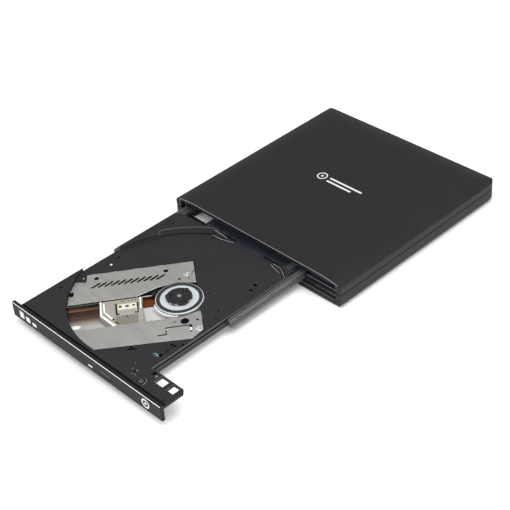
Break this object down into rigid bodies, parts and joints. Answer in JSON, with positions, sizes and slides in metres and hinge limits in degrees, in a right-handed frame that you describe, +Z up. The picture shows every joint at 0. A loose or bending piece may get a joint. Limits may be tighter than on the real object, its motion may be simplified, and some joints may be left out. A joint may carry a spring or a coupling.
{
  "type": "external optical drive",
  "caption": "Thin square desktop optical drive, its slim tray pulled fully out at the front, showing the disc recess, hub turntable, slanting pickup with cover plates, and side rails.",
  "frame": {"origin": "on the surface the case stands on, under the middle of the box round the case and the open tray", "axes": "+Z up, -Y towards the user, the way the tray comes out, +X to the right seen from the front"},
  "size_m": [0.14, 0.272, 0.017],
  "materials": {
    "shell_grey": "fine satin texture",
    "tray_black": "fine matt texture",
    "bezel_black": "satin",
    "black_plastic": "satin",
    "clear_plastic": "translucent",
    "cream_plastic": "satin",
    "black_rubber": "matt",
    "foam": "matt",
    "zinc_sheet": "zinc plated sheet",
    "nickel_sheet": "satin nickel",
    "steel": "ground",
    "screw_steel": "dark plated",
    "sled_metal": "die cast",
    "cover_metal": "satin",
    "green_board": "solder mask",
    "chip_black": "matt",
    "navy_film": "satin film",
    "flex_amber": "polyimide film",
    "flex_white": "flat cable",
    "copper": "lacquered windings",
    "glass": "coated lens"
  },
  "bodies": {
    "case": {"top_shell": "shell_grey", "bottom_shell": "shell_grey", "rubber_feet": "black_rubber", "shell_screws": "screw_steel", "drive_pan": "zinc_sheet", "drive_cover": "zinc_sheet", "drive_screws": "screw_steel", "drive_cushions": "foam", "pan_film": "navy_film", "side_shelf": "zinc_sheet", "main_board": "green_board", "board_chips": "chip_black", "flex_socket": "cream_plastic", "flex_cable": "flex_white", "drive_plug": "black_plastic", "bridge_socket": "black_plastic", "bridge_board": "green_board", "usb_socket": "steel", "usb_tongue": "black_plastic", "latch_post": "steel", "left_guide": "black_plastic", "right_guide": "black_plastic"},
    "tray": {"tray_deck": "tray_black", "deck_screws": "screw_steel", "front_bezel": "bezel_black", "indicator_lens": "clear_plastic", "button_board": "green_board", "eject_switch": "black_plastic", "tray_under_cover": "zinc_sheet", "upper_cover_plate": "nickel_sheet", "lower_cover_plate": "nickel_sheet", "plate_screws": "screw_steel", "traverse_frame": "black_plastic", "rubber_dampers": "black_rubber", "guide_rods": "steel", "sled_motor": "steel", "screw_bracket": "zinc_sheet", "spindle_base": "zinc_sheet", "stator": "copper", "latch_pivot": "steel", "pickup_flex": "flex_amber"},
    "left_rail": {"left_rail": "black_plastic"},
    "right_rail": {"right_rail": "black_plastic"},
    "eject_button": {"eject_button": "bezel_black"},
    "lead_screw": {"lead_screw": "steel"},
    "spindle": {"rotor": "zinc_sheet", "spindle_shaft": "steel", "turntable": "cream_plastic", "friction_ring": "black_rubber", "hub_cap": "black_plastic"},
    "claw_1": {"claw_1": "black_plastic"},
    "claw_2": {"claw_2": "black_plastic"},
    "claw_3": {"claw_3": "black_plastic"},
    "pickup": {"pickup_sled": "sled_metal", "sled_nut": "cream_plastic", "pickup_cover": "cover_metal", "actuator_cover": "cover_metal"},
    "lens": {"lens_holder": "cream_plastic", "objective_lens": "glass"},
    "latch": {"latch_hook": "cream_plastic"}
  },
  "joints": [
    {"name": "tray_slide", "type": "slide", "parent": "case", "child": "tray", "axis": [0, -1, 0], "range_m": [-0.13, 0], "deforming": ["flex_cable"]},
    {"name": "left_rail_slide", "type": "slide", "parent": "case", "child": "left_rail", "axis": [0, -1, 0], "range_m": [-0.065, 0]},
    {"name": "right_rail_slide", "type": "slide", "parent": "case", "child": "right_rail", "axis": [0, -1, 0], "range_m": [-0.065, 0]},
    {"name": "eject_button_push", "type": "slide", "parent": "tray", "child": "eject_button", "axis": [0, 1, 0], "range_m": [0, 0.0008], "stiffness_N_per_m": 200},
    {"name": "spindle_spin", "type": "hinge", "parent": "tray", "child": "spindle", "pos_m": [0.0027, -0.068, 0.0103], "axis": [0, 0, 1], "continuous": true},
    {"name": "claw_1_press", "type": "slide", "parent": "spindle", "child": "claw_1", "axis": [0.1736, -0.9848, 0], "range_m": [0, 0.0004], "stiffness_N_per_m": 100},
    {"name": "claw_2_press", "type": "slide", "parent": "spindle", "child": "claw_2", "axis": [0.766, 0.6428, 0], "range_m": [0, 0.0004], "stiffness_N_per_m": 100},
    {"name": "claw_3_press", "type": "slide", "parent": "spindle", "child": "claw_3", "axis": [-0.9397, 0.342, 0], "range_m": [0, 0.0004], "stiffness_N_per_m": 100},
    {"name": "sled_slide", "type": "slide", "parent": "tray", "child": "pickup", "axis": [0.6018, 0.7986, 0], "range_m": [-0.026, 0.006]},
    {"name": "lead_screw_spin", "type": "hinge", "parent": "tray", "child": "lead_screw", "pos_m": [0.00903, -0.09781, 0.0078], "axis": [0.6018, 0.7986, 0], "range_deg": [-3130, 730]},
    {"name": "lens_focus", "type": "slide", "parent": "pickup", "child": "lens", "axis": [0, 0, 1], "range_m": [-0.0004, 0.0004], "stiffness_N_per_m": 60},
    {"name": "latch_swing", "type": "hinge", "parent": "tray", "child": "latch", "pos_m": [0.0322, -0.1295, 0.0065], "axis": [0, 0, 1], "range_deg": [-14, 0]}
  ],
  "couplings": [
    {"joint": "left_rail_slide", "follows": "tray_slide", "ratio": 0.5},
    {"joint": "right_rail_slide", "follows": "tray_slide", "ratio": 0.5},
    {"joint": "lead_screw_spin", "follows": "sled_slide", "rad_per_m": 2094.4}
  ]
}
